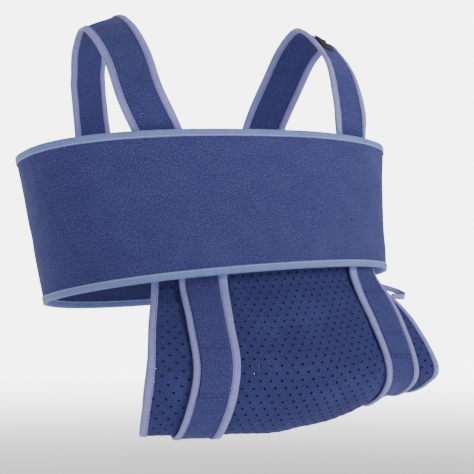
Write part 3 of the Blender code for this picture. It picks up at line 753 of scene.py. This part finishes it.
def strap_pieces(name, frames, body, node, end=False):
    """A strap on frames: cloth, edge tapes and their stitching. Its node names start with node."""
    half = STRAP_W / 2 - CLOTH_INSET
    x = np.linspace(-half, half, 20)
    middle, normal = ribbon(frames, x)
    wave = ruffle(middle)[..., None]
    parts = [slab(middle + normal * wave, normal, STRAP_T, strap_uv(middle, x))]
    cloth = closed(name, parts, body, "loop_fabric", [node])
    goes = []
    for label, side in (("inner", 1), ("outer", -1)):
        at, n = ribbon(frames, np.array([side * half, side * (half - TAPE_LEG)]))
        at = at + n * ruffle(at)[..., None]
        goes += taped(f"{name}_{label}_edge", "strap", at[:, 0], at[:, 1], n[:, 0], n[:, 1], body,
                      f"{node}_{label}_tape")
    if end:
        inside = half - TAPE_LEG - HOOK_MARGIN
        last = tuple(f[-2:] for f in frames)
        at, n = ribbon(last, np.linspace(-inside, inside, 60))
        leg = unit(frames[0][-2] - frames[0][-1]) * TAPE_LEG
        goes += taped(f"{name}_end_edge", "strap", at[1], at[1] + leg, n[1], n[1], body, f"{node}_end_tape")
    return cloth


def make_shoulder_strap(word, side):
    strap_pieces(f"{word}_shoulder_strap_cloth", shoulder_frames(side, 300), "sling", f"{word}_shoulder_strap")
    frames = tab_frames(side, 48)
    strap_pieces(f"{word}_rear_tab_cloth", frames, f"{word}_tab", f"{word}_rear_tab", end=True)
    face = STRAP_W / 2 - CLOTH_INSET - TAPE_LEG - HOOK_MARGIN
    x = np.linspace(-face, face, 20)
    middle, normal = ribbon(tuple(f[7:41] for f in frames), x, STRAP_T / 2 + 0.0011)
    found = middle, normal, strap_uv(middle, x)
    make_hooks(f"{word}_rear_hook_field", found, f"{word}_tab", f"{word}_rear_hook_patch")


def strap_line(station, q, bow):
    """Station of a cradle strap's middle: it swings towards the elbow by bow where the cradle is fullest."""
    share = np.clip((q - 5.2) / 5.6, 0, 1)
    return station - station_step(station, q, bow) * np.sin(math.pi * share) ** 2


def make_cradle_strap(name, station, bow, facing):
    """A strap that follows the cradle's outside, closer to it where it shows than under the band."""
    half = STRAP_W / 2 - CLOTH_INSET
    q = np.linspace(0.15, 12.8, 330)
    hug = STRAP_OUT - 0.0017 * np.clip((q - 2.6) / 1.5, 0, 1) * np.clip((10.6 - q) / 1.2, 0, 1)
    steps = station_step(station, q, 1.0)

    def at(x, qs=q, lift=0.0):
        x = np.atleast_1d(x)
        s = strap_line(station, qs, bow)[:, None] + np.interp(qs, q, steps)[:, None] * x[None]
        n = trough_normal(s, qs[:, None])
        middle = trough(s, qs[:, None])
        out = np.interp(qs, q, hug)[:, None] + ruffle(middle, 0.0004) + lift
        return middle + n * out[..., None], n

    x = np.linspace(-half, half, 20)
    middle, normal = at(x)
    parts = [slab(middle, normal, STRAP_T, strap_uv(middle, x))]
    cloth = closed(f"{name}_cloth", parts, "sling", "loop_fabric", [name])
    goes = []
    for label, side in (("inner", 1), ("outer", -1)):
        p, n = at(np.array([side * half, side * (half - TAPE_LEG)]))
        goes += taped(f"{name}_{label}_edge", "strap", p[:, 0], p[:, 1], n[:, 0], n[:, 1], "sling",
                      f"{name}_{label}_tape")
    face = half - TAPE_LEG - 0.0006
    qs = np.linspace(*facing, 120)
    x = np.linspace(-face, face, 16)
    middle, normal = at(x, qs, STRAP_T / 2 + 0.0006)
    parts = [slab(middle, normal, 0.0009, strap_uv(middle, x))]
    patch = closed(f"{name}_facing_cloth", parts, "sling", "loop_fabric", [f"{name}_facing"])
    top = middle + normal * 0.0005
    rows = [seam(top[r], normal[r], 0.0022, 0.0017, 0.00026) for r in (3, 6, 46, 113, 116)]
    seams = closed(f"{name}_facing_stitching", rows, "sling", "loop_fabric", finish=DARK_THREAD)
    x = np.linspace(-face, face, 20)
    middle, normal = at(x, np.linspace(11.9, 12.7, 16), -(STRAP_T / 2 + 0.0011))
    make_hooks(f"{name}_hook_field", (middle, -normal, strap_uv(middle, x)), "sling", f"{name}_hook_patch")
    whole, _ = at(np.array([0.0]))


# ---- cradle
HOLE_PITCH, HOLE_ROW, HOLE_R = 0.0109, 0.0071, 0.00106


class CradleMap:
    """Flat cloth metres (u along the forearm, v from the back hem round to the front one) to the hung surface."""

    def __init__(self):
        self.s = np.linspace(0, LAST, 101)
        self.q = np.linspace(REAR_HEM + 0.02, FRONT_HEM - 0.02, 361)
        p = trough(self.s[:, None], self.q[None])
        along = np.linalg.norm(np.diff(p, axis=0), axis=-1)
        self.length = along.sum(0).mean()
        self.u_of_s = np.concatenate([[0], np.cumsum(along.mean(1))])
        across = np.linalg.norm(np.diff(p, axis=1), axis=-1)
        self.v_of_q = np.concatenate([np.zeros((len(self.s), 1)), np.cumsum(across, axis=1)], axis=1)
        self.width = self.v_of_q[:, -1].mean()
        share = np.linspace(0, 1, 361)
        self.q_of_v = np.array([np.interp(share, row / row[-1], self.q) for row in self.v_of_q])

    def sq(self, u, v):
        s = np.interp(u, self.u_of_s, self.s)
        fs, fv = s / LAST * 100, np.clip(v / self.width, 0, 1) * 360
        i, j = np.minimum(fs.astype(int), 99), np.minimum(fv.astype(int), 359)
        a, b = fs - i, fv - j
        t = self.q_of_v
        low, high = t[i, j] * (1 - a) + t[i + 1, j] * a, t[i, j + 1] * (1 - a) + t[i + 1, j + 1] * a
        return s, low * (1 - b) + high * b

    def at(self, u, v):
        return cradle_cloth(*self.sq(u, v))


def cradle_cloth(s, q):
    """Middle of the cradle's cloth with its soft folds, and its normal."""
    p, n = trough(s, q), trough_normal(s, q)
    free = np.clip((q - 3.2) / 0.8, 0, 1) * np.clip((10.3 - q) / 0.8, 0, 1)
    wave = 0.0009 * noise_field(p, 0.075, 31) + 0.0004 * noise_field(p, 0.030, 32)
    rim = 0.0010 * noise_field(p, 0.05, 33) * np.exp(-np.minimum(s, LAST - s) / 0.25)
    return p + n * (free * wave + rim)[..., None], n


def make_cradle():
    cloth = CradleMap()
    long, wide = cloth.length - 2 * CLOTH_INSET, cloth.width - 2 * CLOTH_INSET
    bricks, courses = round(long / HOLE_PITCH), round(wide / HOLE_ROW)
    a, b = long / bricks, wide / courses
    steps, halves = bricks * 4 + 1, courses * 2 + 1
    flat, top_faces, walls, used = [], [], [], {}

    def corner(i, j):
        """Index of the lattice point i quarter bricks along and j half courses up."""
        if (i, j) not in used:
            used[i, j] = len(flat)
            flat.append((CLOTH_INSET + i * a / 4, CLOTH_INSET + j * b / 2, 0.0))
        return used[i, j]

    turn = np.arange(12) * math.pi / 6
    rings = [(HOLE_R, -0.00040), (HOLE_R * 1.10, -0.00005), (HOLE_R * 1.35, 0.00030), (HOLE_R * 2.0, 0.00003)]
    brick = [(4, 1), (4, 2), (3, 2), (2, 2), (1, 2), (0, 2), (0, 1), (0, 0), (1, 0), (2, 0), (3, 0), (4, 0)]
    for j in range(courses):
        low = 2 * j
        first = -2 if j % 2 else 0
        for i in range(first, steps - 1, 4):
            if i < 0 or i + 4 > steps - 1:
                start = max(i, 0)
                grid = [[corner(start + k, low + h) for k in range(3)] for h in range(3)]
                for h in range(2):
                    for k in range(2):
                        top_faces.append((grid[h][k], grid[h][k + 1], grid[h + 1][k + 1], grid[h + 1][k]))
                continue
            outer = [corner(i + x, low + y) for x, y in brick]
            cx = CLOTH_INSET + (i + 2) * a / 4 + rng.normal(0, 0.00006)
            cy = CLOTH_INSET + (low + 1) * b / 2 + rng.normal(0, 0.00006)
            size = 1 + rng.normal(0, 0.035)
            found = []
            for radius, lift in rings:
                start = len(flat)
                flat.extend((cx + radius * size * math.cos(k), cy + radius * size * math.sin(k), lift) for k in turn)
                found.append(list(range(start, start + 12)))
            found.append(outer)
            for near, far in zip(found, found[1:]):
                for k in range(12):
                    top_faces.append((near[k], far[k], far[(k + 1) % 12], near[(k + 1) % 12]))
            walls.append(found[0])
    flat, top_faces, walls = np.array(flat), np.array(top_faces), np.array(walls)
    s, q = cloth.sq(flat[:, 0], flat[:, 1])
    middle, normal = cradle_cloth(s, q)
    count = len(flat)
    half = CRADLE_T / 2 + flat[:, 2]
    verts = np.concatenate([middle + normal * half[:, None], middle - normal * half[:, None]])
    after = np.roll(walls, -1, axis=1)
    hole = np.stack([walls, after, after + count, walls + count], axis=-1).reshape(-1, 4)
    around = [(i, 0) for i in range(steps)] + [(steps - 1, j) for j in range(halves)]
    around += [(i, halves - 1) for i in range(steps)[::-1]] + [(0, j) for j in range(halves)[::-1]]
    loop = np.array([used[k] for k in dict.fromkeys(around) if k in used])
    after = np.roll(loop, -1)
    rim = np.stack([loop, loop + count, after + count, after], axis=1)
    faces = np.concatenate([top_faces, top_faces[:, ::-1] + count, hole, rim])
    uv = np.concatenate([flat[:, :2]] * 2)
    panel = closed("cradle_cloth", [(verts, [faces], uv)], "sling", "perforated_foam", ["cradle_panel"])
    goes = []
    qs = np.linspace(cloth.q[0], cloth.q[-1], 420)
    for name, end, inward in (("elbow", 0.0, 1), ("wrist", float(LAST), -1)):
        leg = inward * station_step(np.full(len(qs), end + 0.05 * inward), qs, TAPE_LEG)
        edge, n_edge = cradle_cloth(np.full(len(qs), end) + leg * 0.15, qs)
        inner, n_inner = cradle_cloth(end + leg * 1.15, qs)
        goes += taped(f"cradle_{name}_edge_tape", "cradle", edge, inner, n_edge, n_inner, "sling",
                      f"cradle_{name}_tape")
    for name, v, inward in (("front", cloth.width, -1), ("back", 0.0, 1)):
        u = np.linspace(0.0098, cloth.length - 0.0098, 140)
        edge, n_edge = cloth.at(u, np.full(140, v + inward * CLOTH_INSET))
        inner, n_inner = cloth.at(u, np.full(140, v + inward * (CLOTH_INSET + TAPE_LEG)))
        goes += taped(f"cradle_{name}_hem_tape", "cradle", edge, inner, n_edge, n_inner, "sling", f"cradle_{name}_hem")


# ---- label and thumb loop
def make_label():
    """Plain woven label: its rear edge stands a little proud of the strap."""
    spots = np.linspace(17.1, 19, 34)

    def between(values):
        columns = [np.interp(spots, np.arange(40), column) for column in values.reshape(40, -1).T]
        return np.array(columns).T.reshape((len(spots),) + values.shape[1:])

    centres, across, up, curl = (between(values) for values in shoulder_frames(1, 40))
    x = np.linspace(-0.0155, 0.0010, 26)
    rise = np.clip((np.linspace(0, 1, 34) - 0.70) / 0.30, 0, 1)[:, None] ** 2 * 0.0016
    flat = np.stack(np.meshgrid(np.linspace(0, 0.02, 34), x, [0.0], indexing="ij"), -1)[:, :, 0]
    bow = 0.0003 * noise_field(flat, 0.012, 41)
    middle, normal = ribbon((centres, unit(across), unit(up), curl), x, -(STRAP_T / 2 + 0.0019))
    middle = middle - normal * (rise + bow)[..., None]
    parts = [slab(middle, normal, 0.0007, strap_uv(middle, x))]
    label = closed("woven_label_cloth", parts, "sling", "label", ["woven_label"])
    top = middle - normal * 0.00042
    seams = [seam(top[2], -normal[2], 0.0019, 0.0014, 0.00014)]
    seams += [seam(top[:30, c], -normal[:30, c], 0.0019, 0.0014, 0.00014) for c in (1, 24)]
    thread = closed("woven_label_stitching", seams, "sling", "label", finish=DARK_THREAD)


def make_thumb_loop():
    front, back = trough(LAST, FRONT_HEM - 1.45), trough(LAST, REAR_HEM + 0.62)
    chord = back - front
    out = unit(np.array([-chord[1], chord[0], 0.0]))
    out = out if out[0] > 0 else -out
    out = unit(out + np.array([0.6, 0.0, 0.0]))
    a = np.linspace(0, math.pi, 150)
    along = 0.5 - 0.5 * np.cos(a)
    bulge = THUMB_START + THUMB_REACH * np.sin(a)
    centres = front + chord * along[:, None] + out * bulge[:, None] + np.outer(-THUMB_SAG * np.sin(a), [0, 0, 1])
    frames = frames_along(centres, np.tile(unit(np.array([0, 0, 1.0]) + out * 0.35), (150, 1)), np.zeros(150))
    x = np.linspace(-0.003, 0.003, 13)
    middle, normal = ribbon(frames, x)
    twist = 0.0003 * noise_field(middle, 0.03, 51)[..., None]
    parts = [slab(middle + normal * twist, normal, THUMB_T, strap_uv(middle, x))]
    made = closed("thumb_loop_tape", parts, "thumb", "lilac_tape", ["thumb_loop"])
    rows = [seam((middle + normal * (twist + k * 0.00058))[:, c], normal[:, c] * k, 0.0024, 0.0017, 0.00016)
            for k in (1, -1) for c in (2, 10)]
    thread = closed("thumb_loop_stitching", rows, "thumb", "lilac_tape", finish=THREAD["lilac_tape"])


# ---- room and camera
def stage():
    mesh = bpy.data.meshes.new("floor")
    turn = np.linspace(0, 2 * math.pi, 97)[:-1]
    rings = [0.6, 1.5, 3.5, 8.0, 14.0]
    verts = [(0, 0, 0)] + [(r * math.cos(a), r * math.sin(a), 0) for r in rings for a in turn]
    faces = [(0, 1 + k, 1 + (k + 1) % 96) for k in range(96)]
    for ring in range(len(rings) - 1):
        for k in range(96):
            a, b = 1 + ring * 96 + k, 1 + ring * 96 + (k + 1) % 96
            faces.append((a, a + 96, b + 96, b))
    mesh.from_pydata(verts, [], faces)
    floor = bpy.data.objects.new("floor", mesh)
    floor.location = (0, 0, FLOOR_Z)
    bpy.context.scene.collection.objects.link(floor)
    pale = bpy.data.materials.new("floor_paint")
    pale.use_nodes = True
    shader = pale.node_tree.nodes["Principled BSDF"]
    for key, value in (("Base Color", (0.86, 0.855, 0.875, 1)), ("Roughness", 0.95), ("Specular IOR Level", 0.1),
                       ("Emission Color", PALE)):
        shader.inputs[key].default_value = value
    tree = pale.node_tree
    kinds = "ShaderNodeTexCoord", "ShaderNodeVectorMath", "ShaderNodeMapRange"
    place, away, glow = (tree.nodes.new(kind) for kind in kinds)
    away.operation, glow.interpolation_type = "LENGTH", "SMOOTHERSTEP"
    for key, value in zip(("From Min", "From Max", "To Min", "To Max"), (0.8, 9.0, FLOOR_GLOW, WALL)):
        glow.inputs[key].default_value = value
    tree.links.new(place.outputs["Object"], away.inputs[0])
    tree.links.new(away.outputs["Value"], glow.inputs["Value"])
    tree.links.new(glow.outputs["Result"], shader.inputs["Emission Strength"])
    mesh.materials.append(pale)
    world = bpy.data.worlds.new("room")
    bpy.context.scene.world = world
    world.use_nodes = True
    tree = world.node_tree
    background = tree.nodes["Background"]
    background.inputs["Color"].default_value = PALE
    seen, strength = tree.nodes.new("ShaderNodeLightPath"), tree.nodes.new("ShaderNodeMapRange")
    strength.inputs["To Min"].default_value, strength.inputs["To Max"].default_value = ROOM, WALL
    tree.links.new(seen.outputs["Is Camera Ray"], strength.inputs["Value"])
    tree.links.new(strength.outputs["Result"], background.inputs["Strength"])
    for name, place, size, power_w, colour in LIGHTS:
        lamp = bpy.data.lights.new(name, "AREA")
        lamp.shape, lamp.size, lamp.energy, lamp.color = "DISK", size, power_w, colour
        made = bpy.data.objects.new(name, lamp)
        made.location = place
        made.rotation_euler = (Vector(place) - Vector((0, 0, -0.25))).to_track_quat("Z", "Y").to_euler()
        bpy.context.scene.collection.objects.link(made)


def camera():
    a, e, far, focus = math.radians(-22), math.radians(-3), 1.70, 890
    back = Vector((math.sin(a) * math.cos(e), -math.cos(a) * math.cos(e), math.sin(e)))
    lens = bpy.data.cameras.new("camera")
    made = bpy.data.objects.new("camera", lens)
    made.location = Vector((0, 0, -0.225)) + back * far
    made.rotation_euler = back.to_track_quat("Z", "Y").to_euler()
    lens.angle = 2 * math.atan(237 / (focus * far))
    lens.shift_x, lens.shift_y = (237 - 212) / 474, (230 - 237) / 474
    bpy.context.scene.collection.objects.link(made)
    bpy.context.scene.camera = made


FLOOR_Z, FLOOR_GLOW, ROOM, WALL = -0.75, 0.40, 0.12, 6.0
PALE = (0.95, 0.95, 0.98, 1)
LIGHTS = [
    ("key", (1.6, -2.0, 0.9), 1.0, 40, (1.0, 0.99, 0.98)),
    ("fill", (-2.2, -1.6, 0.5), 2.0, 6, (0.97, 0.97, 1.0)),
    ("top", (0.2, 0.2, 2.2), 1.6, 22, (1.0, 1.0, 1.0)),
    ("rear", (-0.8, 2.4, 0.8), 1.6, 22, (0.98, 0.98, 1.0)),
]
make_band()
make_shoulder_strap("right", -1)
make_shoulder_strap("left", 1)
make_cradle()
make_cradle_strap("elbow_strap", *ELBOW_LINE, (7.4, 10.0))
make_cradle_strap("wrist_strap", *WRIST_LINE, (8.2, 9.6))
make_label()
make_thumb_loop()
stage()
camera()
